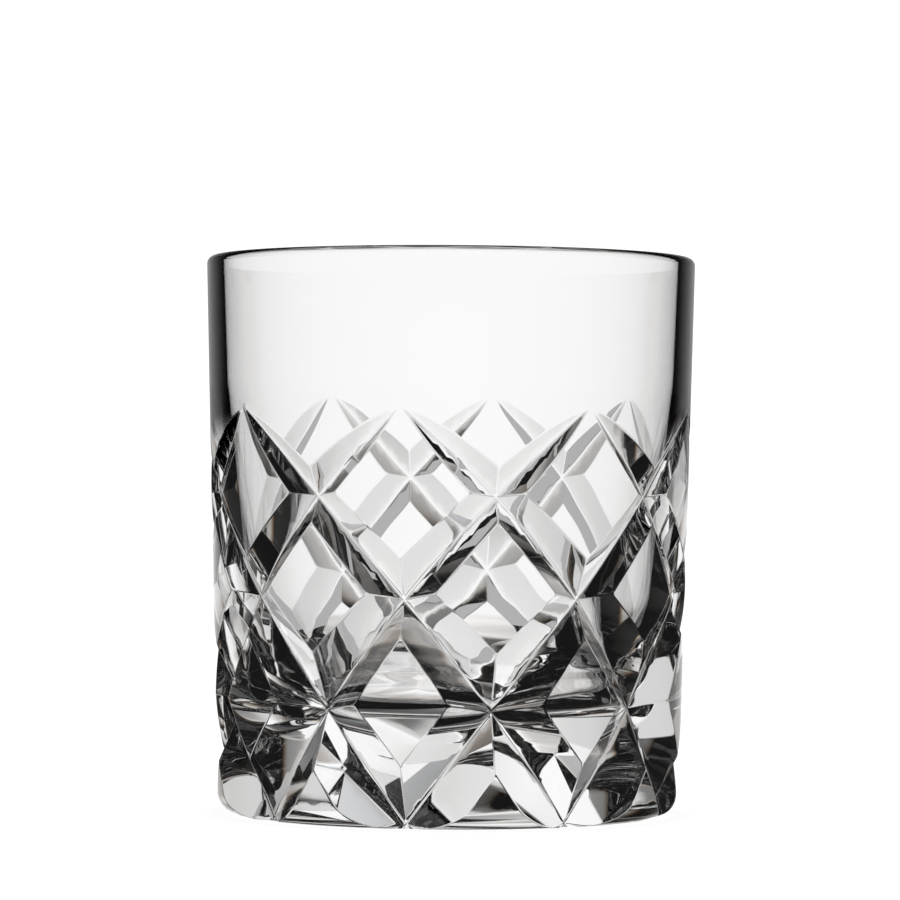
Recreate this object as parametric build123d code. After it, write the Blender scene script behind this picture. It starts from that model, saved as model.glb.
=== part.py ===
from build123d import *
import math
import os

# A cut-crystal whiskey tumbler: one solid piece of clear glass, turned about +Z and
# standing on the XY plane, with its origin at the centre of the base. All sizes in mm.

# Outside of the blank
HEIGHT = 91.0
RIM_RADIUS = 40.0
FOOT_RADIUS = 37.7            # the tapered side carried down to the table
HEEL_ROUNDING = 3.7

# Inside of the blank: a thin straight lip above, a wall that thickens below it, a thick base
LIP_WALL = 2.75
SHOULDER_HEIGHT = 69.5        # where the thin lip gives way to the thickening wall
SHOULDER_RADIUS = 36.45
SHOULDER_ROUNDING = 45.0
WAIST_HEIGHT = 30.0           # below this the wall turns in towards the floor
WAIST_RADIUS = 32.4
WAIST_ROUNDING = 45.0
BASE_THICKNESS = 17.0
FLOOR_CORNER_RADIUS = 27.2    # the inner wall carried down to the cavity floor
FLOOR_ROUNDING = 7.0
RIM_ROUNDING = 1.3

# The cut pattern: V grooves of both hands, that start at nothing on the top row and
# cross on each row below it, a half pitch further round each time
COLUMNS = 8
HALF_PITCH = 180.0 / COLUMNS
ROW_HEIGHTS = [66.1, 51.9, 35.8, 18.3, 0.7]
ROW_DEPTHS = [-0.05, 2.1, 2.8, 4.1, 4.65]
ROW_LEANS = [5.0, 2.0, 2.8, 1.5, -5.0]   # degrees the V leans up, so its upper flank is wider
V_HALF_ANGLE = 56.5
V_CLEARANCE = 2.5             # how far the cutting section stands proud of the side
RUN_IN = 0.2                  # the first part of the groove, in rows, where the wheel bites
RUN_IN_DEPTH = 0.73
RUN_OUT = 0.3                 # how far each end of the groove carries on, in rows
SECTIONS_PER_ROW = 3


def make_blank():
    """The turned glass before cutting: a half profile revolved about Z."""
    corners = [
        (0, 0),
        (FOOT_RADIUS, 0),
        (RIM_RADIUS, HEIGHT),
        (RIM_RADIUS - LIP_WALL, HEIGHT),
        (SHOULDER_RADIUS, SHOULDER_HEIGHT),
        (WAIST_RADIUS, WAIST_HEIGHT),
        (FLOOR_CORNER_RADIUS, BASE_THICKNESS),
        (0, BASE_THICKNESS),
    ]
    roundings = {
        1: HEEL_ROUNDING,
        2: RIM_ROUNDING,
        3: RIM_ROUNDING,
        4: SHOULDER_ROUNDING,
        5: WAIST_ROUNDING,
        6: FLOOR_ROUNDING,
    }
    profile = Polygon(*corners, align=None)
    for index, radius in roundings.items():
        corner = profile.vertices().sort_by_distance(corners[index])[0]
        profile = fillet(corner, radius)
    return revolve(Plane.XZ * profile, Axis.Z)


def side_radius(height):
    """Radius of the tapered outer side at a height."""
    return FOOT_RADIUS + (RIM_RADIUS - FOOT_RADIUS) * height / HEIGHT


def groove_point(row, height, depth):
    """A point of the groove's bottom line, a number of rows round and in from the side."""
    radius = side_radius(height) - depth
    return Vector(radius, 0, height).rotate(Axis.Z, row * HALF_PITCH)


def groove_line():
    """The bottom line of one right-hand groove, from above the top row to below the base."""
    drop = ROW_HEIGHTS[0] - ROW_HEIGHTS[1]
    rise = ROW_HEIGHTS[-2] - ROW_HEIGHTS[-1]
    gain = ROW_DEPTHS[-1] - ROW_DEPTHS[-2]
    proud = -RUN_OUT * RUN_IN_DEPTH / RUN_IN
    points = [groove_point(-RUN_OUT, ROW_HEIGHTS[0] + RUN_OUT * drop, proud)]
    points.append(groove_point(0, ROW_HEIGHTS[0], ROW_DEPTHS[0]))
    points.append(groove_point(RUN_IN, ROW_HEIGHTS[0] - RUN_IN * drop, RUN_IN_DEPTH))
    for row in range(1, len(ROW_HEIGHTS)):
        points.append(groove_point(row, ROW_HEIGHTS[row], ROW_DEPTHS[row]))
    last = len(ROW_HEIGHTS) - 1
    points.append(
        groove_point(last + RUN_OUT, ROW_HEIGHTS[-1] - RUN_OUT * rise, ROW_DEPTHS[-1] + RUN_OUT * gain)
    )
    return Spline(*points)


def lean_at(point):
    """How far the V leans up at a point of the bottom line, in degrees."""
    row = math.degrees(math.atan2(point.Y, point.X)) / HALF_PITCH
    row = min(max(row, 0), len(ROW_LEANS) - 1)
    above = min(int(row), len(ROW_LEANS) - 2)
    return ROW_LEANS[above] + (row - above) * (ROW_LEANS[above + 1] - ROW_LEANS[above])


def v_corners(line, position):
    """The V that the wheel cuts, square to the groove at a position along it: its point
    on the groove's bottom line, and its upper and lower corners, clear of the side."""
    point = line @ position
    outward = Vector(point.X, point.Y, 0).normalized()
    across = outward.cross(line % position).normalized()
    square = (line % position).cross(across).normalized()
    top = V_CLEARANCE + max(ROW_DEPTHS)
    up = top * math.tan(math.radians(V_HALF_ANGLE + lean_at(point)))
    down = top * math.tan(math.radians(V_HALF_ANGLE - lean_at(point)))
    return point, point + square * top + across * up, point + square * top - across * down


def make_cutter():
    """One right-hand groove as a solid, ruled between its bottom line and its two lips."""
    line = groove_line()
    count = SECTIONS_PER_ROW * len(ROW_HEIGHTS)
    corners = [v_corners(line, step / count) for step in range(count + 1)]
    bottom, upper, lower = [Spline(*points) for points in zip(*corners)]
    sides = [
        Face.make_surface_from_curves(bottom, upper),
        Face.make_surface_from_curves(upper, lower),
        Face.make_surface_from_curves(lower, bottom),
    ]
    ends = [Face(Wire.make_polygon(corners[0])), Face(Wire.make_polygon(corners[-1]))]
    return Solid(Shell(sides + ends))


def make_tumbler():
    """The blank with every groove of both hands cut out of it."""
    right_hand = make_cutter()
    left_hand = mirror(right_hand, Plane.XZ)
    tumbler = make_blank()
    for column in range(COLUMNS):
        turn = Rot(0, 0, column * 2 * HALF_PITCH)
        tumbler = tumbler - turn * right_hand
        tumbler = tumbler - turn * left_hand
    return tumbler


os.makedirs("parts", exist_ok=True)
tumbler = make_tumbler()
export_step(tumbler, "parts/tumbler.step")
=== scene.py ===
import math
import bpy
import numpy as np
from mathutils import Matrix, Vector
from mathutils.geometry import delaunay_2d_cdt


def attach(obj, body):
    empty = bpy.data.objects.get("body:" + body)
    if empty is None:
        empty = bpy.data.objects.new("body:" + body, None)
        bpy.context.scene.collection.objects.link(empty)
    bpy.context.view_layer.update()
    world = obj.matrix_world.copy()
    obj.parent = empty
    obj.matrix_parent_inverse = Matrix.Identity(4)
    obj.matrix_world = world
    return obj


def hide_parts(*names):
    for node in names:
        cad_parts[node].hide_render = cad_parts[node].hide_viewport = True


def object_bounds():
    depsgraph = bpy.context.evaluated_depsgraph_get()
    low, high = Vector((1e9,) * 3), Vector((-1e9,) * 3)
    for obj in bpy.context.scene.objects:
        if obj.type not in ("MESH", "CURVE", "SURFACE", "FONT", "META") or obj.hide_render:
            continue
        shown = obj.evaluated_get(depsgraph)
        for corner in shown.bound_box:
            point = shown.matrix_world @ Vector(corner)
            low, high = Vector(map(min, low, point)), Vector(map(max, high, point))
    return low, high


# A cut-crystal whiskey tumbler: one piece of clear glass. Its shape is worked out in
# millimetres and turned into metres when the mesh is made; the studio, the material and the
# camera are in metres. The height comes from the CAD frame, and the rest is stated the way a
# glass cutter would: how the blank is turned, where the grooves cross and how deep they are.
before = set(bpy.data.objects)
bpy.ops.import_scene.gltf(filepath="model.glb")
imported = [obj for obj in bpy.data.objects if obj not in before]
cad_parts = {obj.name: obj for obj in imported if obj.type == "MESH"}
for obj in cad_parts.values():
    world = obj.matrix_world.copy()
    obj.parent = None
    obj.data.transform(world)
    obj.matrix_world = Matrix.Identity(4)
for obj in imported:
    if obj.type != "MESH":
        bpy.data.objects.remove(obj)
cad_low, cad_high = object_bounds()

MM = 0.001
HEIGHT = (cad_high.z - cad_low.z) / MM
GLASS_NODE = "tumbler"
BODY = "root"

# The blank, before it is cut
RIM_RADIUS = 40.0
FOOT_RADIUS = 37.7
HEEL_ROUNDING = 3.7
LIP_WALL = 2.75
SHOULDER_HEIGHT = 69.5        # where the thin lip gives way to the thickening wall
SHOULDER_RADIUS = 36.45
SHOULDER_ROUNDING = 45.0
WAIST_HEIGHT = 30.0           # below this the wall turns in towards the floor
WAIST_RADIUS = 32.4
WAIST_ROUNDING = 45.0
BASE_THICKNESS = 17.0
FLOOR_CORNER_RADIUS = 27.2    # the inner wall carried down to the cavity floor
FLOOR_ROUNDING = 7.0
RIM_ROUNDING = 1.3

# The cut: grooves of both hands cross on rows, half a pitch further round on each row
COLUMNS = 8
HALF_PITCH = math.pi / COLUMNS
WEDGES = 2 * COLUMNS
ROW_HEIGHTS = [66.1, 51.9, 35.8, 18.3, 0.7]
ROW_DEPTHS = [-0.05, 2.1, 2.8, 4.1, 4.65]
RUN_IN = 0.2
RUN_IN_DEPTH = 0.73
V_HALF_ANGLE = 56.5
ROW_LEANS = [5.0, 2.0, 2.8, 1.5, -5.0]      # degrees the V leans up, so its upper flank is wider
WHEEL_TIP = 0.22              # half the width of the rounded bottom of a groove
POLISHED_EDGE = 0.12          # how far the fire polish has softened the sharp edges
FAR_TURN = 0.6                # a groove further round than this, in radians, is out of reach


# ---------------------------------------------------------------- curves and profiles

class SmoothCurve:
    """A natural cubic spline through a few (x, y) points, carried on straight outside them."""

    def __init__(self, xs, ys):
        self.x = np.array(xs, float)
        self.y = np.array(ys, float)
        n = len(xs)
        gap = np.diff(self.x)
        slope = np.diff(self.y) / gap
        matrix = np.eye(n)
        right = np.zeros(n)
        for i in range(1, n - 1):
            matrix[i, i - 1:i + 2] = [gap[i - 1], 2 * (gap[i - 1] + gap[i]), gap[i]]
            right[i] = 6 * (slope[i] - slope[i - 1])
        self.bend = np.linalg.solve(matrix, right)

    def __call__(self, at):
        at = np.asarray(at, float)
        i = np.clip(np.searchsorted(self.x, at) - 1, 0, len(self.x) - 2)
        gap = self.x[i + 1] - self.x[i]
        clamped = np.clip(at, self.x[0], self.x[-1])
        b = (clamped - self.x[i]) / gap
        a = 1 - b
        curve = (a**3 - a) * self.bend[i] + (b**3 - b) * self.bend[i + 1]
        inside = a * self.y[i] + b * self.y[i + 1] + curve * gap**2 / 6
        start = (self.y[1] - self.y[0]) / (self.x[1] - self.x[0])
        start -= (2 * self.bend[0] + self.bend[1]) * (self.x[1] - self.x[0]) / 6
        end = (self.y[-1] - self.y[-2]) / (self.x[-1] - self.x[-2])
        end += (self.bend[-2] + 2 * self.bend[-1]) * (self.x[-1] - self.x[-2]) / 6
        below = np.minimum(at - self.x[0], 0)
        above = np.maximum(at - self.x[-1], 0)
        return inside + below * start + above * end


rows = np.arange(len(ROW_HEIGHTS), dtype=float)
row_height = SmoothCurve(rows, ROW_HEIGHTS)
row_depth = SmoothCurve(np.insert(rows, 1, RUN_IN), np.insert(ROW_DEPTHS, 1, RUN_IN_DEPTH))
row_lean = SmoothCurve(rows, ROW_LEANS)


class Outline:
    """A half profile with rounded corners, run along by distance in mm. Its outward side is
    on the right of the way it runs."""

    def __init__(self, corners, roundings):
        self.pieces = []
        self.marks = {}
        here = np.array(corners[0], float)
        total = 0.0
        for i in range(1, len(corners)):
            corner = np.array(corners[i], float)
            if i == len(corners) - 1 or i not in roundings:
                total = self.add_line(here, corner, total)
                here = corner
                continue
            back = here - corner
            ahead = np.array(corners[i + 1], float) - corner
            back /= np.linalg.norm(back)
            ahead /= np.linalg.norm(ahead)
            half = math.acos(back @ ahead) / 2
            tangent = roundings[i] / math.tan(half)
            first = corner + back * tangent
            total = self.add_line(here, first, total)
            bisector = (back + ahead) / np.linalg.norm(back + ahead)
            centre = corner + bisector * roundings[i] / math.sin(half)
            turn = math.copysign(math.pi - 2 * half, ahead[0] * back[1] - ahead[1] * back[0])
            start = math.atan2(*(first - centre)[::-1])
            length = abs(turn) * roundings[i]
            self.pieces.append((total, length, ("arc", centre, roundings[i], start, turn)))
            self.marks[i] = (total, total + length)
            total += length
            here = corner + ahead * tangent
        self.length = total

    def add_line(self, start, end, total):
        length = np.linalg.norm(end - start)
        self.pieces.append((total, length, ("line", start, end)))
        return total + length

    def at(self, distance):
        """(radius, height) at a distance along the outline."""
        distance = np.asarray(distance, float)
        radius = np.zeros_like(distance)
        height = np.zeros_like(distance)
        for start, length, (kind, *shape) in self.pieces:
            here = (distance >= start - 1e-9) & (distance <= start + length + 1e-9)
            share = (distance[here] - start) / length
            if kind == "line":
                low, high = shape
                radius[here] = low[0] + (high[0] - low[0]) * share
                height[here] = low[1] + (high[1] - low[1]) * share
            else:
                centre, size, angle, turn = shape
                radius[here] = centre[0] + size * np.cos(angle + turn * share)
                height[here] = centre[1] + size * np.sin(angle + turn * share)
        return radius, height


blank = Outline(
    [
        (0, 0),
        (FOOT_RADIUS, 0),
        (RIM_RADIUS, HEIGHT),
        (RIM_RADIUS - LIP_WALL, HEIGHT),
        (SHOULDER_RADIUS, SHOULDER_HEIGHT),
        (WAIST_RADIUS, WAIST_HEIGHT),
        (FLOOR_CORNER_RADIUS, BASE_THICKNESS),
        (0, BASE_THICKNESS),
    ],
    {
        1: HEEL_ROUNDING,
        2: RIM_ROUNDING,
        3: RIM_ROUNDING,
        4: SHOULDER_ROUNDING,
        5: WAIST_ROUNDING,
        6: FLOOR_ROUNDING,
    },
)
BASE_EDGE, HEEL_END = blank.marks[1]
RIM_START = blank.marks[2][0]


def side_radius(height):
    """Radius of the straight tapered outer side, carried down to the table."""
    return FOOT_RADIUS + (RIM_RADIUS - FOOT_RADIUS) * height / HEIGHT


def solve(function, low, high, turns=24):
    """Where a function changes sign between low and high, by halving; all are arrays."""
    low = np.array(low, float)
    high = np.array(high, float)
    sign = np.sign(function(low))
    for _ in range(turns):
        middle = 0.5 * (low + high)
        same = np.sign(function(middle)) == sign
        low = np.where(same, middle, low)
        high = np.where(same, high, middle)
    return 0.5 * (low + high)


def distance_at(height):
    """Distance along the blank's outside at a height."""
    height = np.asarray(height, float)
    low = np.full_like(height, BASE_EDGE)
    return solve(lambda d: blank.at(d)[1] - height, low, np.full_like(height, RIM_START))


# ---------------------------------------------------------------- the cut surface
# A place on the outside is (across, distance): across is 0 on a column where grooves start
# and 1 half a pitch on, and everything else is a mirror image or a turn of that wedge.
# Each groove is (hand, start): its bottom line is at across = start + hand * row.

WEDGE_GROOVES = [(1, 0), (-1, 2), (1, -2), (-1, 4), (1, -4)]
ROUNDS_TO_NEAREST = 5         # steps that bring the nearest point of a groove's line to rest
ROUNDS_TO_RADIUS = 4          # and that bring a flank's radius to rest


def groove_radius(across, height, groove):
    """Radius of one groove's flanks at a place, as if the blank were endless."""
    hand, start = groove
    mean = side_radius(height)
    row = 0.5 * (hand * (across - start) + np.interp(-height, [-h for h in ROW_HEIGHTS], rows))
    step = 1e-3
    for _ in range(ROUNDS_TO_NEAREST):
        x = (across - start - hand * row) * HALF_PITCH * mean
        y = height - row_height(row)
        dx = hand * HALF_PITCH * mean
        dy = (row_height(row + step) - row_height(row - step)) / (2 * step)
        row = row + (x * dx + y * dy) / (dx * dx + dy * dy)
        row = np.clip(row, -2.0, len(rows) + 1.0)
    bottom_height = row_height(row)
    bottom = side_radius(bottom_height) - row_depth(row)
    turn = np.clip((across - start - hand * row) * HALF_PITCH, -FAR_TURN, FAR_TURN)
    dy = (row_height(row + step) - row_height(row - step)) / (2 * step)
    along = np.stack([hand * HALF_PITCH * bottom, dy])
    along = along / np.hypot(*along)
    lean = row_lean(np.clip(row, 0, len(rows) - 1))
    upper = 1 / np.tan(np.radians(V_HALF_ANGLE + lean))
    lower = 1 / np.tan(np.radians(V_HALF_ANGLE - lean))
    radius = bottom
    for _ in range(ROUNDS_TO_RADIUS):
        above = along[0] * (height - bottom_height) - along[1] * radius * np.sin(turn)
        above = above * hand
        lift = (upper + lower) / 2 * np.sqrt(above**2 + WHEEL_TIP**2) + (upper - lower) / 2 * above
        radius = (bottom + lift) / np.cos(turn)
    return radius


def soft_min(a, b, softness):
    """The lesser of two, with the crease between them rounded where they are close."""
    return np.minimum(a, b) - np.maximum(softness - np.abs(a - b), 0)**2 / (4 * softness)


def outer_radius(across, distance):
    """Radius of the cut outside at a place in the wedge."""
    radius, height = blank.at(distance)
    for groove in WEDGE_GROOVES:
        radius = soft_min(radius, groove_radius(across, height, groove), POLISHED_EDGE)
    return radius


def cut_side(across, distance):
    """A point of the cut outside, from the edge of the base to the rim."""
    folded = np.abs((across + 1) % 2 - 1)
    radius = outer_radius(folded, distance)
    angle = across * HALF_PITCH
    return np.stack([radius * np.cos(angle), radius * np.sin(angle), blank.at(distance)[1]], -1)


def normals_of(point, across, distance, lowest, highest):
    """Outward normals of a surface given as point(across, distance), by small steps."""
    step = 0.01
    turn = step / (RIM_RADIUS * HALF_PITCH)
    around = point(across + turn, distance) - point(across - turn, distance)
    up = point(across, np.minimum(distance + step, highest))
    up = up - point(across, np.maximum(distance - step, lowest))
    normal = np.cross(around, up)
    return normal / np.linalg.norm(normal, axis=-1, keepdims=True)


# ---------------------------------------------------------------- creases of one wedge

CREASE_STEP = 0.5             # mm between points along a crease that runs round
FLANK_STEP = 0.35             # and of height between points along one that runs up
BOTTOM_BANDS = [0.1, 0.26]    # rows of points beside a groove's bottom line, in mm
EDGE_BANDS = [0.07, 0.2]      # and beside a sharp edge
BAND_CLEARANCE = 0.8          # such a row stays this share of its offset from other creases
BAND_MARGIN = 0.6             # and this share of it from the borders of the wedge
BORDER_STEP = 0.7             # mm between points along the upright borders of the wedge
INFILL = 1.15                 # spacing of the points elsewhere, in mm
WEDGE_WIDTH = HALF_PITCH * (RIM_RADIUS + FOOT_RADIUS) / 2
SNAP = 1e-4                   # places this close to the edge of the wedge are on it
LINE_SAMPLES = 600            # points that a groove's bottom line is looked up among

# Where the crossings are: along the side, and on which border of the wedge, and to which
# side of that border the wedge lies
ROW_PLACES = [float(distance_at(height)) for height in ROW_HEIGHTS]
ROW_COLUMNS = [row % 2 for row in range(len(ROW_HEIGHTS))]
ROW_SIDES = [1 - 2 * column for column in ROW_COLUMNS]
LAST_ROW = len(ROW_HEIGHTS) - 1

# How far away each kind of point is looked for, in mm, or in half pitches for the first
FLANK_REACH = 0.95            # from a groove's bottom line to the edge of its flank
TIP_REACH = 1.0               # from the top row to where a groove starts to bite
CORNER_REACH = 3.0            # from a row to the corners of the windows beside it
CORNER_ABOVE_BASE = 0.3
RIDGE_REACH = 2.5             # from a row to the ridges between its grooves
RIDGE_ABOVE_BASE = 0.05
WINDOW_REACH = (0.5, 16.0)    # from a row to the tips of the windows above and below it


def groove_line(groove, distance):
    """Across position of a groove's bottom line at a distance."""
    hand, start = groove
    height = blank.at(distance)[1]
    fine = np.linspace(-1, len(rows), LINE_SAMPLES)
    return start + hand * np.interp(-height, -row_height(fine), fine)


def clearance(across, distance, groove):
    """How far the blank's surface stands outside a groove's flank; below 0 it is uncut."""
    radius, height = blank.at(distance)
    return radius - groove_radius(across, height, groove)


def window_edge(groove, side, distance):
    """Across position where a groove's flank on one side comes out to the blank's surface."""
    middle = groove_line(groove, distance)
    return solve(lambda u: clearance(u, distance, groove), middle, middle + side * FLANK_REACH)


def spaced(low, high, step):
    """Even places from low to high, no more than a step apart."""
    count = max(2, int(math.ceil(abs(high - low) / step)) + 1)
    return np.linspace(low, high, count)


def on_side(distance, across):
    """Points in mm across and along the developed side, with the borders met exactly."""
    for edge in (0.0, 1.0):
        across = np.where(np.abs(across - edge) < SNAP, edge, across)
    return np.stack([across * WEDGE_WIDTH, distance], -1)


def groove_tip():
    """Distance at which the wedge's first groove starts to bite."""
    groove = WEDGE_GROOVES[0]

    def bite(distance):
        return clearance(groove_line(groove, distance), distance, groove)

    return float(solve(bite, ROW_PLACES[0] + TIP_REACH, ROW_PLACES[1]))


def bottom_lines(tip):
    """The bottom line of each groove, down to the next row."""
    lines = []
    for row, groove in enumerate(WEDGE_GROOVES):
        start = ROW_PLACES[row] if row > 0 else tip
        end = ROW_PLACES[row + 1] if row < LAST_ROW else BASE_EDGE
        distance = spaced(start, end, FLANK_STEP)
        lines.append(on_side(distance, groove_line(groove, distance)))
    return lines


def window_corner(row):
    """Distance at which the two grooves that cross on a row come out of the glass together,
    at the corner of the uncut window beside their crossing."""
    side = ROW_SIDES[row]
    above, below = WEDGE_GROOVES[row - 1:row + 1]

    def gap(distance):
        return side * (window_edge(above, side, distance) - window_edge(below, side, distance))

    lowest = max(ROW_PLACES[row] - CORNER_REACH, BASE_EDGE + CORNER_ABOVE_BASE)
    return float(solve(gap, ROW_PLACES[row] + CORNER_REACH, lowest))


def ridge(row, corner):
    """The ridge between the two grooves that cross on a row, out to the window's corner."""
    above, below = WEDGE_GROOVES[row - 1:row + 1]
    target = float(window_edge(above, ROW_SIDES[row], np.array(corner)))
    across = spaced(ROW_COLUMNS[row], target, CREASE_STEP / WEDGE_WIDTH)

    def split(distance):
        height = blank.at(distance)[1]
        return groove_radius(across, height, above) - groove_radius(across, height, below)

    lowest = max(ROW_PLACES[row] - RIDGE_REACH, BASE_EDGE + RIDGE_ABOVE_BASE)
    highest = ROW_PLACES[row] + RIDGE_REACH
    distance = solve(split, np.full_like(across, highest), np.full_like(across, lowest))
    distance[0], distance[-1] = ROW_PLACES[row], corner
    return on_side(distance, across)


def window_point(groove, column, start, way):
    """Distance at which a flank comes out of the glass on a border of the wedge, looked for
    up (way 1) or down (way -1) from a row."""
    near, far = WINDOW_REACH

    def above_glass(distance):
        return clearance(np.full_like(distance, column), distance, groove)

    return float(solve(above_glass, start + way * near, start + way * far))


def window_edges(tip, corners):
    """Both edges of each groove, along the uncut windows."""
    edges = []
    for row, groove in enumerate(WEDGE_GROOVES):
        column, side = ROW_COLUMNS[row], ROW_SIDES[row]
        start, end = corners.get(row, tip), BASE_EDGE
        if row < LAST_ROW:
            end = window_point(groove, 1 - column, ROW_PLACES[row + 1], 1)
        distance = spaced(start, end, FLANK_STEP)
        across = window_edge(groove, side, distance)
        if row == 0:
            across[0] = groove_line(groove, tip)
        if row < LAST_ROW:
            across[-1] = 1 - column
        edges.append(on_side(distance, across))
        if row == LAST_ROW:
            break
        start = window_point(groove, column, ROW_PLACES[row], -1) if row > 0 else tip
        distance = spaced(start, corners[row + 1], FLANK_STEP)
        across = window_edge(groove, -side, distance)
        across[0] = column if row > 0 else groove_line(groove, tip)
        edges.append(on_side(distance, across))
    return edges


def wedge_creases():
    """Every crease inside the wedge as (points, rows of points to put beside it)."""
    tip = groove_tip()
    corners = {row: window_corner(row) for row in range(1, len(ROW_HEIGHTS))}
    creases = [(line, BOTTOM_BANDS) for line in bottom_lines(tip)]
    creases += [(ridge(row, corner), EDGE_BANDS) for row, corner in corners.items()]
    creases += [(edge, EDGE_BANDS) for edge in window_edges(tip, corners)]
    return creases


# ---------------------------------------------------------------- the wedge as triangles

RIM_SEGMENTS = 20             # round one wedge, at the rim
HEEL_INFILL = 0.8
CLEAR_OF_CREASE = 0.5         # infill points keep this far from every crease
CHAIN_BATCH = 500             # points measured against the creases at a time
TRIANGLE_HEIGHT = 0.866       # of an even triangle, as a share of its side
GRID_MARGIN = 0.4             # the grid keeps this much of its spacing from its borders


def distance_to_chains(points, chains):
    """The least distance from each point to any segment of the chains."""
    start = np.concatenate([c[:-1] for c in chains])
    end = np.concatenate([c[1:] for c in chains])
    way = end - start
    length = np.maximum((way**2).sum(1), 1e-12)
    best = np.full(len(points), np.inf)
    for low in range(0, len(points), CHAIN_BATCH):
        some = points[low:low + CHAIN_BATCH, None, :]
        share = np.clip(((some - start) * way).sum(-1) / length, 0, 1)
        near = start + share[..., None] * way
        best[low:low + CHAIN_BATCH] = np.sqrt(((some - near)**2).sum(-1)).min(1)
    return best


def hexagonal_grid(low, high, spacing):
    """Points of even triangles that fill the box from low to high, clear of its borders."""
    row_step = spacing * TRIANGLE_HEIGHT
    rows_up = int((high[1] - low[1]) / row_step) + 1
    points = []
    for j in range(rows_up):
        y = low[1] + (j + 0.5) * row_step
        shift = 0.5 * (j % 2)
        count = int((high[0] - low[0]) / spacing) + 1
        points += [(low[0] + (i + shift) * spacing, y) for i in range(count)]
    points = np.array(points)
    margin = GRID_MARGIN * spacing
    clear = (points[:, 0] > low[0] + margin) & (points[:, 0] < high[0] - margin)
    return points[clear & (points[:, 1] < high[1] - margin)]


def points_beside(creases, chains, low, high):
    """The rows of points that follow each crease on both sides, inside the wedge and clear
    of the other creases."""
    beside = []
    for points, bands in creases:
        way = np.gradient(points, axis=0)
        way /= np.linalg.norm(way, axis=1, keepdims=True)
        across = np.stack([-way[:, 1], way[:, 0]], -1)
        for band in bands:
            for side in (-1, 1):
                row = points + side * band * across
                row = row[distance_to_chains(row, chains) > BAND_CLEARANCE * band]
                margin = BAND_MARGIN * band
                beside.append(row[(row > low + margin).all(1) & (row < high - margin).all(1)])
    return beside


def on_border(across, distance):
    """For each border of the wedge, (the coordinate that is fixed on it, its value)."""
    return ((across, 0.0), (across, 1.0), (distance, BASE_EDGE), (distance, RIM_START))


def triangulate_wedge():
    """(across, distance) of every point of the wedge, and its triangles."""
    creases = wedge_creases()
    low = np.array([0.0, BASE_EDGE])
    high = np.array([WEDGE_WIDTH, RIM_START])
    upright = spaced(BASE_EDGE, RIM_START, BORDER_STEP)
    cut = upright[upright < distance_at(ROW_HEIGHTS[0]) + CREASE_STEP]
    for edge in (0.0, WEDGE_WIDTH):
        creases.append((np.stack([np.full_like(cut, edge), cut], -1), EDGE_BANDS))
    chains = [points for points, bands in creases]
    beside = points_beside(creases, chains, low, high)

    heel = hexagonal_grid(low, (WEDGE_WIDTH, HEEL_END), HEEL_INFILL)
    side = hexagonal_grid((0.0, HEEL_END), high, INFILL)
    infill = np.concatenate([heel, side])
    infill = infill[distance_to_chains(infill, chains) > CLEAR_OF_CREASE]

    top = np.linspace(0, WEDGE_WIDTH, RIM_SEGMENTS + 1)
    outline = [
        np.stack([top, np.full_like(top, RIM_START)], -1),
        np.stack([top, np.full_like(top, BASE_EDGE)], -1),
        np.stack([np.zeros_like(upright), upright], -1),
        np.stack([np.full_like(upright, WEDGE_WIDTH), upright], -1),
    ]
    coords, edges = [], []
    for chain in chains + outline:
        first = len(coords)
        coords += [Vector(p) for p in chain]
        edges += [(i, i + 1) for i in range(first, len(coords) - 1)]
    coords += [Vector(p) for p in np.concatenate(beside + [infill])]
    found, _, faces, _, _, _ = delaunay_2d_cdt(coords, edges, [], 0, SNAP, False)
    found = np.array([tuple(p) for p in found])
    across = found[:, 0] / WEDGE_WIDTH
    distance = found[:, 1]
    for values, edge in on_border(across, distance):
        values[np.abs(values - edge) < SNAP] = edge
    faces = np.array(faces)
    flat = np.zeros(len(faces), bool)     # slivers with all three corners on one border
    for values, edge in on_border(across, distance):
        flat |= (values[faces] == edge).all(1)
    return across, distance, faces[~flat]


# ---------------------------------------------------------------- the whole glass as a mesh

JOIN_DECIMALS = 4             # points that agree to this many decimals of a mm are one


class Shell:
    """Collects faces with a normal at each corner, then joins them where they meet."""

    def __init__(self):
        self.points = []
        self.faces = []
        self.normals = []
        self.count = 0

    def add(self, points, normals, faces):
        """Faces index into points; normals has one normal for each point."""
        points = np.asarray(points).reshape(-1, 3)
        normals = np.asarray(normals).reshape(-1, 3)
        self.points.append(points)
        for face in faces:
            self.faces.append([self.count + int(i) for i in face])
            self.normals.append([normals[int(i)] for i in face])
        self.count += len(points)

    def build(self, name):
        """One mesh in metres, with points at the same place joined and normals kept."""
        points = np.concatenate(self.points)
        keys = np.round(points, JOIN_DECIMALS) + 0.0     # adding 0.0 makes -0.0 and 0.0 one key
        _, first, where = np.unique(keys, axis=0, return_index=True, return_inverse=True)
        where = where.ravel()
        kept_faces, corner_normals = [], []
        for face, normals in zip(self.faces, self.normals):
            joined, kept = [], []
            for i, normal in zip(face, normals):
                index = int(where[i])
                if index not in joined:
                    joined.append(index)
                    kept.append(normal)
            if len(joined) > 2:
                kept_faces.append(joined)
                corner_normals += kept
        mesh = bpy.data.meshes.new(name)
        mesh.from_pydata([tuple(p) for p in points[first] * MM], [], kept_faces)
        mesh.polygons.foreach_set("use_smooth", [True] * len(mesh.polygons))
        mesh.normals_split_custom_set([tuple(n) for n in corner_normals])
        mesh.update()
        return mesh


def turned(points, wedge):
    """Points or normals of the first wedge, copied to another: every second one mirrored."""
    mirrored = wedge % 2 == 1
    angle = (wedge + mirrored) * HALF_PITCH
    x, y, z = points[:, 0], points[:, 1] * (-1 if mirrored else 1), points[:, 2]
    c, s = math.cos(angle), math.sin(angle)
    return np.stack([c * x - s * y, s * x + c * y, z], -1)


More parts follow.
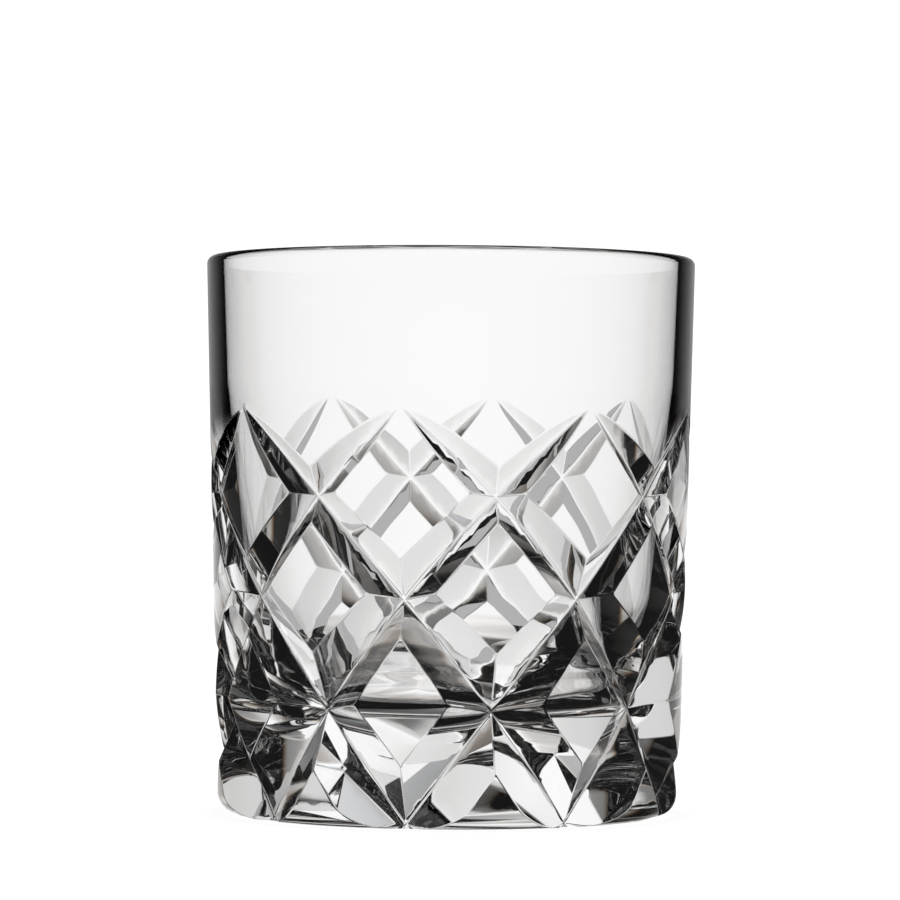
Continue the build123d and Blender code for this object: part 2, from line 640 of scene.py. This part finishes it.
def add_side(shell):
    """The cut outside. Returns the ring where it meets the flat base, in order round."""
    across, distance, triangles = triangulate_wedge()
    points = cut_side(across, distance)
    normals = normals_of(cut_side, across, distance, BASE_EDGE, RIM_START)
    for wedge in range(WEDGES):
        faces = triangles if wedge % 2 == 0 else triangles[:, ::-1]
        shell.add(turned(points, wedge), turned(normals, wedge), faces)
    foot = points[distance == BASE_EDGE]
    foot = foot[np.argsort(np.arctan2(foot[:, 1], foot[:, 0]))]
    ring = [turned(foot, k)[::(-1 if k % 2 else 1)][:-1] for k in range(WEDGES)]
    return np.concatenate(ring)


def ring_faces(outer, inner, start_outer, start_inner):
    """Faces between two closed rings, the inner with as many points or half as many."""
    faces = []
    for i in range(inner):
        j = (i + 1) % inner
        if outer == inner:
            faces.append([start_outer + i, start_outer + j, start_inner + j, start_inner + i])
            continue
        a, b, c = 2 * i, 2 * i + 1, (2 * i + 2) % outer
        faces.append([start_outer + a, start_outer + b, start_inner + i])
        faces.append([start_outer + b, start_inner + j, start_inner + i])
        faces.append([start_outer + b, start_outer + c, start_inner + j])
    return faces


def add_rings(shell, rings, normals, centre, centre_normal):
    """Joins rings of points, each as long as the one before or half as long, and closes
    the last onto a centre point."""
    starts = np.cumsum([0] + [len(r) for r in rings])
    faces = []
    for k in range(len(rings) - 1):
        faces += ring_faces(len(rings[k]), len(rings[k + 1]), starts[k], starts[k + 1])
    last, count = starts[-2], len(rings[-1])
    faces += [[last + i, last + (i + 1) % count, starts[-1]] for i in range(count)]
    shell.add(np.concatenate(rings + [[centre]]), np.concatenate(normals + [[centre_normal]]), faces)


BASE_RING_STEP = 2.4          # mm between rings on the base
BASE_SIDE = 1.0               # a ring's sides are halved in number before they fall under this
FINEST_RING = 20              # no ring has fewer sides than about this


def can_halve(count, radius, least):
    """Whether a ring's sides are so short that it can do with half as many."""
    return count % 2 == 0 and count > FINEST_RING and 2 * math.pi * radius / count < least


def add_base(shell, foot):
    """The flat polished base, in rings from the ring where the side ends."""
    rings, down = [foot], (0.0, 0.0, -1.0)
    count = len(foot)
    share = 1.0
    reach = np.linalg.norm(foot, axis=1)
    size = reach.mean()
    while size * share > BASE_RING_STEP:
        share -= BASE_RING_STEP / size
        if share * size < BASE_RING_STEP:
            break
        last = rings[-1]
        if can_halve(count, size * share, BASE_SIDE):
            count //= 2
            last = last[::2]
        direction = last / np.linalg.norm(last, axis=1, keepdims=True)
        rings.append(direction * reach.min() * share)
    rings = [r[::-1] for r in rings]
    normals = [np.tile(down, (len(r), 1)) for r in rings]
    add_rings(shell, rings, normals, (0.0, 0.0, 0.0), down)


INSIDE_START = RIM_START
INSIDE_END = blank.length
RIPPLE_START = blank.marks[3][1]

# How far hot working has left the inside off true. Depths are in mm, and the rates say how
# fast a wave runs, in radians for each mm. The whole numbers of turns and the phases in the
# waves themselves are only there to keep the waves from lining up.
RING_DEPTH, RING_RATE = 0.012, 0.9        # fine rings round the wall
SPIRAL_DEPTH, SPIRAL_RATE = 0.02, 0.31    # long spirals down it
FLOOR_DEPTH, FLOOR_RATES = 0.05, (0.16, 0.14)     # a slow swell across it, along X and Y
FLOW_DEPTH, FLOW_RATE = 0.045, 2.0        # close flow lines where the wall turns to the floor
FLOW_HEIGHT, FLOW_SPREAD = 24.0, 6.0      # their middle and how far they spread, in mm


def ripple(across, distance):
    """Depth of the waves at a place on the inside. They grow from the rim to the floor."""
    radius, height = blank.at(distance)
    angle = across * HALF_PITCH
    x, y = radius * np.cos(angle), radius * np.sin(angle)
    fade = np.clip((distance - RIPPLE_START) / (INSIDE_END - RIPPLE_START), 0, 1)
    rings = RING_DEPTH * np.sin(RING_RATE * height + 2.0 * np.sin(2 * angle + 0.7))
    spiral = SPIRAL_DEPTH * np.sin(SPIRAL_RATE * height + 3 * angle)
    floor = FLOOR_DEPTH * np.sin(FLOOR_RATES[0] * x + 0.9) * np.cos(FLOOR_RATES[1] * y + 0.4)
    low = np.exp(-((height - FLOW_HEIGHT) / FLOW_SPREAD)**2)
    bend = 1.6 * np.sin(5 * angle + 0.4) + 0.8 * np.sin(11 * angle)
    flow = FLOW_DEPTH * low * np.sin(FLOW_RATE * height + bend)
    return fade * (rings + spiral + floor + flow)


def inside(across, distance):
    """A point of the rim or the inside, from the top of the side to the middle of the floor."""
    radius, height = blank.at(distance)
    step = 1e-3
    ahead = blank.at(np.minimum(distance + step, INSIDE_END))
    back = blank.at(np.maximum(distance - step, INSIDE_START))
    along = np.stack([ahead[0] - back[0], ahead[1] - back[1]])
    along = along / np.hypot(*along)
    depth = ripple(across, distance)
    radius = radius + depth * along[1]
    height = height - depth * along[0]
    angle = across * HALF_PITCH
    return np.stack([radius * np.cos(angle), radius * np.sin(angle), height], -1)


RIM_ROW = 0.3                 # mm between rings on the rounded rim
WALL_ROW = 1.25               # on the wall and the floor
CORNER_ROW = 0.8              # and where the wall turns in to the floor
INSIDE_SIDE = 0.75            # a ring's sides are halved in number before they fall under this


def add_inside(shell):
    """The rim, the inner wall and the cavity floor."""
    waist_start = blank.marks[5][0]
    corner_start, corner_end = blank.marks[6]
    rows_down = np.concatenate([
        spaced(INSIDE_START, RIPPLE_START, RIM_ROW)[:-1],
        spaced(RIPPLE_START, waist_start, WALL_ROW)[:-1],
        spaced(waist_start, corner_start, CORNER_ROW)[:-1],
        spaced(corner_start, corner_end, CORNER_ROW)[:-1],
        spaced(corner_end, INSIDE_END - WALL_ROW, WALL_ROW),
    ])
    rings, normals = [], []
    count = WEDGES * RIM_SEGMENTS
    for distance in rows_down:
        radius = float(blank.at(distance)[0])
        if can_halve(count, radius, INSIDE_SIDE):
            count //= 2
        across = np.arange(count) * WEDGES / count
        row = np.full_like(across, distance)
        rings.append(inside(across, row))
        normals.append(normals_of(inside, across, row, INSIDE_START, INSIDE_END))
    centre = inside(np.zeros(1), np.array([INSIDE_END]))[0]
    add_rings(shell, rings, normals, centre, (0.0, 0.0, 1.0))


def make_glass():
    """The whole tumbler as one closed mesh."""
    shell = Shell()
    foot = add_side(shell)
    add_base(shell, foot)
    add_inside(shell)
    glass = bpy.data.objects.new("cut_glass", shell.build("cut_glass"))
    bpy.context.scene.collection.objects.link(glass)
    return glass


# ---------------------------------------------------------------- the studio
# The glass is lit in bright field: a white screen behind it that dims outward, a lit band
# over it, a pale table under it, and a dark room all round. The screen is tied to the camera,
# so every view of the glass is lit the same way. Each list is (degrees off the line of sight,
# share of the screen's full level), sideways or up and down.

SCREEN_LEVEL = 1.15
SIDEWAYS = [(0, 1.0), (8, 0.96), (16, 0.8), (24, 0.7), (38, 0.6), (48, 0.03), (90, 0.01)]
UPRIGHT = [
    (-90, 0.3), (-60, 0.15), (-45, 0.1), (-36, 0.12), (-30, 0.2), (-24, 0.6), (-15, 0.97),
    (0, 1.0), (10, 0.96), (17, 0.84), (24, 0.5), (36, 0.75), (50, 0.04), (90, 0.03),
]
FAR_OUT = (26.0, 32.0)        # past this, sideways, the screen is also dimmed by this strip
STRIP = [(-40, 0.1), (-24, 0.2), (-10, 0.35), (-5, 0.8), (0, 1.0), (5, 1.0), (10, 0.5), (24, 0.4)]
ROOM_LEVEL = 0.008
ONE_WALL_SHADE = 0.1          # off the screen's level where only one wall is looked through
DISPERSION = 0.013            # how much further blue is bent than green, as a share


class Nodes:
    """A few shorthands for wiring up a node tree."""

    def __init__(self, tree):
        self.tree = tree

    def add(self, kind, **settings):
        node = self.tree.nodes.new(kind)
        for name, value in settings.items():
            setattr(node, name, value)
        return node

    def put(self, socket, value):
        """Links another node's output to a socket, or sets the socket's own value."""
        if isinstance(value, bpy.types.NodeSocket):
            self.tree.links.new(value, socket)
        else:
            socket.default_value = value

    def math(self, operation, *values):
        node = self.add("ShaderNodeMath", operation=operation)
        for socket, value in zip(node.inputs, values):
            self.put(socket, value)
        return node.outputs[0]

    def fade(self, value, start, end, low, high):
        """Goes smoothly from low to high as value goes from start to end."""
        node = self.add("ShaderNodeMapRange", interpolation_type="SMOOTHSTEP", clamp=True)
        for socket, item in zip(node.inputs, (value, start, end, low, high)):
            self.put(socket, item)
        return node.outputs[0]

    def ramp(self, value, stops):
        """A level from 0 to 1 that runs smoothly through (value, level) stops."""
        low, high = stops[0][0], stops[-1][0]
        place = self.add("ShaderNodeMapRange", clamp=True)
        for socket, item in zip(place.inputs, (value, low, high, 0.0, 1.0)):
            self.put(socket, item)
        ramp = self.add("ShaderNodeValToRGB")
        ramp.color_ramp.interpolation = "EASE"
        elements = ramp.color_ramp.elements
        while len(elements) < len(stops):
            elements.new(0.5)
        for element, (at, level) in zip(elements, stops):
            element.position = (at - low) / (high - low)
            element.color = (level, level, level, 1.0)
        self.put(ramp.inputs[0], place.outputs[0])
        return ramp.outputs[0]

    def mix(self, share, a, b):
        """The number a where share is 0, and b where it is 1."""
        node = self.add("ShaderNodeMix", data_type="FLOAT")
        for socket, item in zip(node.inputs, (share, None, a, b)):
            if item is not None:
                self.put(socket, item)
        return node.outputs[0]

    def blend(self, share, a, b):
        """The same for colours."""
        node = self.add("ShaderNodeMix", data_type="RGBA", clamp_result=False)
        for socket, item in zip((node.inputs[0], node.inputs[6], node.inputs[7]), (share, a, b)):
            self.put(socket, item)
        return node.outputs[2]

    def mix_shader(self, share, a, b):
        """The same for surfaces."""
        node = self.add("ShaderNodeMixShader")
        for socket, item in zip(node.inputs, (share, a, b)):
            self.put(socket, item)
        return node.outputs[0]


def empty_tree(owner):
    """The node tree of a material or world, with nothing in it yet."""
    owner.use_nodes = True
    owner.node_tree.nodes.clear()
    return Nodes(owner.node_tree)


def off_sight(n, direction):
    """How many degrees a direction in world space is off the camera's line of sight: to
    either side, and up."""
    turn = n.add("ShaderNodeVectorTransform", vector_type="VECTOR")
    turn.convert_from = "WORLD"
    turn.convert_to = "CAMERA"
    n.put(turn.inputs[0], direction)
    unit = n.add("ShaderNodeVectorMath", operation="NORMALIZE")
    n.put(unit.inputs[0], turn.outputs[0])
    split = n.add("ShaderNodeSeparateXYZ")
    n.put(split.inputs[0], unit.outputs[0])
    right, up, ahead = split.outputs
    to_degrees = math.degrees(1.0)
    side = n.math("MULTIPLY", n.math("ABSOLUTE", n.math("ARCTAN2", right, ahead)), to_degrees)
    rise = n.math("MULTIPLY", n.math("ARCSINE", up), to_degrees)
    return side, rise


def studio_group():
    """A node group: colour of the light from a direction of travel given in world space. Blue
    bends more than red in the glass, so its screen is a little nearer the line of sight."""
    group = bpy.data.node_groups.new("studio_light", "ShaderNodeTree")
    group.interface.new_socket("Direction", in_out="INPUT", socket_type="NodeSocketVector")
    group.interface.new_socket("Light", in_out="OUTPUT", socket_type="NodeSocketColor")
    n = Nodes(group)
    given = n.add("NodeGroupInput")
    result = n.add("NodeGroupOutput")
    side, rise = off_sight(n, given.outputs[0])
    faces_crossed = n.add("ShaderNodeLightPath").outputs["Transmission Depth"]
    one_wall = n.math("COMPARE", faces_crossed, 2.0, 0.5)
    full = n.math("SUBTRACT", SCREEN_LEVEL, n.math("MULTIPLY", one_wall, ONE_WALL_SHADE))
    light = n.add("ShaderNodeCombineColor")
    for socket, spread in zip(light.inputs, (1 - DISPERSION, 1.0, 1 + DISPERSION)):
        wide = n.math("MULTIPLY", side, spread)
        tall = n.math("MULTIPLY", rise, spread)
        strip = n.mix(n.fade(side, *FAR_OUT, 0.0, 1.0), 1.0, n.ramp(tall, STRIP))
        level = n.math("MULTIPLY", n.ramp(wide, SIDEWAYS), n.ramp(tall, UPRIGHT))
        level = n.math("MAXIMUM", n.math("MULTIPLY", level, strip), ROOM_LEVEL)
        n.put(socket, n.math("MULTIPLY", level, full))
    n.put(result.inputs[0], light.outputs[0])
    return group


def light_world(studio):
    """The studio as the world's light. Straight past the glass the camera sees plain white."""
    world = bpy.data.worlds.new("studio")
    n = empty_tree(world)
    where = n.add("ShaderNodeTexCoord")
    level = n.add("ShaderNodeGroup", node_tree=studio)
    n.put(level.inputs[0], where.outputs["Generated"])
    camera_ray = n.add("ShaderNodeLightPath").outputs["Is Camera Ray"]
    background = n.add("ShaderNodeBackground")
    plain = (SCREEN_LEVEL, SCREEN_LEVEL, SCREEN_LEVEL, 1.0)
    n.put(background.inputs["Color"], n.blend(camera_ray, level.outputs[0], plain))
    out = n.add("ShaderNodeOutputWorld")
    n.put(out.inputs[0], background.outputs[0])
    bpy.context.scene.world = world


FLOOR_SIZE = 3.0              # metres
FLOOR_GAP = 0.05e-3           # a hair under the glass, so the two faces don't coincide
CONTACT_SHADE = 0.16          # how dark the painted contact shadow on the floor is at the foot of the glass
SHADE_REACH = 0.014           # and how quickly that fades


def floor_material(studio):
    """Pale: it carries the screen's light on, with a faint painted shadow round the glass's foot."""
    material = bpy.data.materials.new("studio_floor")
    n = empty_tree(material)
    place = n.add("ShaderNodeNewGeometry")
    flip = n.add("ShaderNodeVectorMath", operation="SCALE")
    n.put(flip.inputs[0], place.outputs["Incoming"])
    n.put(flip.inputs["Scale"], -1.0)
    level = n.add("ShaderNodeGroup", node_tree=studio)
    n.put(level.inputs[0], flip.outputs[0])
    flat = n.add("ShaderNodeVectorMath", operation="LENGTH")
    n.put(flat.inputs[0], place.outputs["Position"])
    # painted shadow: the floor darkens near the ring where the glass stands
    away = n.math("ABSOLUTE", n.math("SUBTRACT", flat.outputs["Value"], FOOT_RADIUS * MM))
    shade = n.math("EXPONENT", n.math("DIVIDE", away, -SHADE_REACH))
    with_painted_shadow = n.math("SUBTRACT", 1.0, n.math("MULTIPLY", shade, CONTACT_SHADE))
    seen = n.math("MULTIPLY", with_painted_shadow, SCREEN_LEVEL)
    camera_ray = n.add("ShaderNodeLightPath").outputs["Is Camera Ray"]
    glow = n.add("ShaderNodeEmission")
    plain = n.add("ShaderNodeCombineColor")
    for socket in plain.inputs:
        n.put(socket, seen)
    n.put(glow.inputs["Color"], n.blend(camera_ray, level.outputs[0], plain.outputs[0]))
    out = n.add("ShaderNodeOutputMaterial")
    n.put(out.inputs[0], glow.outputs[0])
    return material


def make_floor(studio):
    """The floor that the glass stands on."""
    half = FLOOR_SIZE / 2
    mesh = bpy.data.meshes.new("studio_floor")
    corners = [(-half, -half, 0), (half, -half, 0), (half, half, 0), (-half, half, 0)]
    mesh.from_pydata(corners, [], [(0, 1, 2, 3)])
    mesh.materials.append(floor_material(studio))
    floor = bpy.data.objects.new("studio_floor", mesh)
    floor.location.z = cad_low.z - FLOOR_GAP
    bpy.context.scene.collection.objects.link(floor)


# ---------------------------------------------------------------- materials

CRYSTAL_INDEX = 1.545         # refractive index
POLISH_WAVE = 90.0            # waves per metre left by hand polishing
POLISH_DEPTH = 4e-6           # metres
POLISH_DETAIL = 1.5

# The painted shade on the lip, which darkens its reflections: each pair is a start and an end, and
# the shade runs between them
WALL_SHADE_RISE = (0.0595, 0.0655)    # heights in metres over which the inner wall's comes in
SKIN_SHADE_RISE = (0.047, 0.055)      # and the outer skin's
LIP_INSIDE = 0.0384           # nearer the axis than this is the inner wall
SHADE_STEEP = (0.762, 0.718)  # cosines of incidence, from where light is just held in
SHADE_LEVELS = (0.008, 0.14)
SKIN_STEEP = (0.36, 0.1)      # the same for light that only glances off the outer skin
SKIN_LEVELS = (0.05, 0.42)


def lip_painted_shade(n, place):
    """Colour of reflections: white, but on the plain lip it carries painted shade: it is darkened
    the way black cards on both sides of the glass would shade it, in the glass's skin and within the
    wall."""
    split = n.add("ShaderNodeSeparateXYZ")
    n.put(split.inputs[0], place)
    x, y, z = split.outputs
    radius = n.math("SQRT", n.math("ADD", n.math("MULTIPLY", x, x), n.math("MULTIPLY", y, y)))
    inner_wall = n.math("LESS_THAN", radius, LIP_INSIDE)
    surface = n.add("ShaderNodeNewGeometry")
    facing = n.add("ShaderNodeVectorMath", operation="DOT_PRODUCT")
    n.put(facing.inputs[0], surface.outputs["Incoming"])
    n.put(facing.inputs[1], surface.outputs["Normal"])
    steep = n.math("ABSOLUTE", facing.outputs["Value"])
    within = n.mix(inner_wall, 1.0, n.fade(steep, *SHADE_STEEP, *SHADE_LEVELS))
    skin = n.mix(inner_wall, n.fade(steep, *SKIN_STEEP, *SKIN_LEVELS), 1.0)
    within = n.mix(n.fade(z, *WALL_SHADE_RISE, 0.0, 1.0), 1.0, within)
    skin = n.mix(n.fade(z, *SKIN_SHADE_RISE, 0.0, 1.0), 1.0, skin)
    level = n.mix(surface.outputs["Backfacing"], skin, within)
    colour = n.add("ShaderNodeCombineColor")
    for socket in colour.inputs:
        n.put(socket, level)
    return colour.outputs[0]


RIM_TOP = 0.089               # the rounded rim is above this height, in metres
FAR_CUTS_FROM = 0.022         # and the far side's cuts are seen clear of the base above this
FAR_CUTS_GLOW = 0.5          # strength of the painted glow that makes those cuts pale
ALL_HELD_IN = 0.98            # Fresnel share at which nothing gets out


def far_side(n, place, share):
    """Where a look through the near wall meets the far rim, which is left out, and where a
    straight one meets a far groove so steeply that all its light is held in. There the grooves
    get a painted glow, standing in for white cardboard close behind the glass, which makes them
    pale."""
    split = n.add("ShaderNodeSeparateXYZ")
    n.put(split.inputs[0], place)
    height = split.outputs[2]
    path = n.add("ShaderNodeLightPath")
    faces_crossed = path.outputs["Transmission Depth"]
    through_near_wall = n.math("GREATER_THAN", faces_crossed, 1.5)
    at_far_outside = n.math("GREATER_THAN", faces_crossed, 2.5)
    straight = n.math("LESS_THAN", path.outputs["Glossy Depth"], 0.5)
    held_in = n.math("GREATER_THAN", share, ALL_HELD_IN)
    rim = n.math("MULTIPLY", n.math("GREATER_THAN", height, RIM_TOP), through_near_wall)
    cuts = n.math("MULTIPLY", n.math("GREATER_THAN", height, FAR_CUTS_FROM), at_far_outside)
    return rim, n.math("MULTIPLY", cuts, n.math("MULTIPLY", held_in, straight))


def polish_waves(n, place):
    """The surface's normal, with the faint waves of hand polishing."""
    noise = n.add("ShaderNodeTexNoise")
    n.put(noise.inputs["Vector"], place)
    noise.inputs["Scale"].default_value = POLISH_WAVE
    noise.inputs["Detail"].default_value = POLISH_DETAIL
    bump = n.add("ShaderNodeBump")
    bump.inputs["Strength"].default_value = 1.0
    bump.inputs["Distance"].default_value = POLISH_DEPTH
    n.put(bump.inputs["Height"], noise.outputs[0])
    return bump.outputs[0]


def glass_face(n, normal, mirror_colour):
    """A face of clear glass, and the share of the light that it mirrors."""
    through = n.add("ShaderNodeBsdfRefraction")
    through.inputs["Roughness"].default_value = 0.0
    through.inputs["IOR"].default_value = CRYSTAL_INDEX
    n.put(through.inputs["Normal"], normal)
    mirror = n.add("ShaderNodeBsdfGlossy")
    mirror.inputs["Roughness"].default_value = 0.0
    n.put(mirror.inputs["Normal"], normal)
    n.put(mirror.inputs["Color"], mirror_colour)
    share = n.add("ShaderNodeFresnel")
    share.inputs["IOR"].default_value = CRYSTAL_INDEX
    n.put(share.inputs["Normal"], normal)
    face = n.mix_shader(share.outputs[0], through.outputs[0], mirror.outputs[0])
    return face, share.outputs[0]


def crystal_material():
    """Clear lead crystal."""
    material = bpy.data.materials.new("lead_crystal")
    n = empty_tree(material)
    place = n.add("ShaderNodeTexCoord").outputs["Object"]
    # the reflections' colour carries the painted shade on the lip
    face, share = glass_face(n, polish_waves(n, place), lip_painted_shade(n, place))
    rim, cuts = far_side(n, place, share)
    # painted light: a glow on the far grooves makes them pale
    painted_glow = n.add("ShaderNodeEmission")
    painted_glow.inputs["Strength"].default_value = FAR_CUTS_GLOW
    clear = n.add("ShaderNodeBsdfTransparent")
    face = n.mix_shader(cuts, face, painted_glow.outputs[0])
    face = n.mix_shader(rim, face, clear.outputs[0])
    out = n.add("ShaderNodeOutputMaterial")
    n.put(out.inputs[0], face)
    material.cycles.emission_sampling = "NONE"     # the painted glow is looked at, and lights nothing
    return material


# ---------------------------------------------------------------- camera

CAMERA_TURN = math.radians(11.3)      # to the right of the front, round the glass
CAMERA_AWAY = 0.705                   # from the glass's axis, in metres
CAMERA_HEIGHT = 0.0543
CAMERA_LENS = 172.0                   # focal length in mm
CAMERA_PITCH = math.radians(0.42)
CAMERA_ROLL = math.radians(0.34)


def add_camera():
    """The camera, a little above half the glass's height and far off, with a long lens."""
    data = bpy.data.cameras.new("camera")
    data.lens = CAMERA_LENS
    data.clip_start = 0.01
    camera = bpy.data.objects.new("camera", data)
    away = Vector((math.sin(CAMERA_TURN), -math.cos(CAMERA_TURN), 0)) * CAMERA_AWAY
    turn = Matrix.Rotation(CAMERA_TURN, 4, "Z") @ Matrix.Rotation(math.pi / 2 + CAMERA_PITCH, 4, "X")
    camera.matrix_world = Matrix.Translation(away + Vector((0, 0, CAMERA_HEIGHT))) @ turn
    camera.matrix_world = camera.matrix_world @ Matrix.Rotation(CAMERA_ROLL, 4, "Z")
    bpy.context.scene.collection.objects.link(camera)
    bpy.context.scene.camera = camera


BOUNCES = 40                  # enough for light that is held in between the cuts


def set_output():
    """Plain tones, and as many bounces as cut glass needs."""
    scene = bpy.context.scene
    scene.view_settings.view_transform = "Standard"
    scene.cycles.max_bounces = BOUNCES
    scene.cycles.transmission_bounces = BOUNCES
    scene.cycles.glossy_bounces = BOUNCES


glass = make_glass()
glass.data.materials.append(crystal_material())
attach(glass, BODY)
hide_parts(GLASS_NODE)

studio = studio_group()
light_world(studio)
make_floor(studio)
add_camera()
set_output()
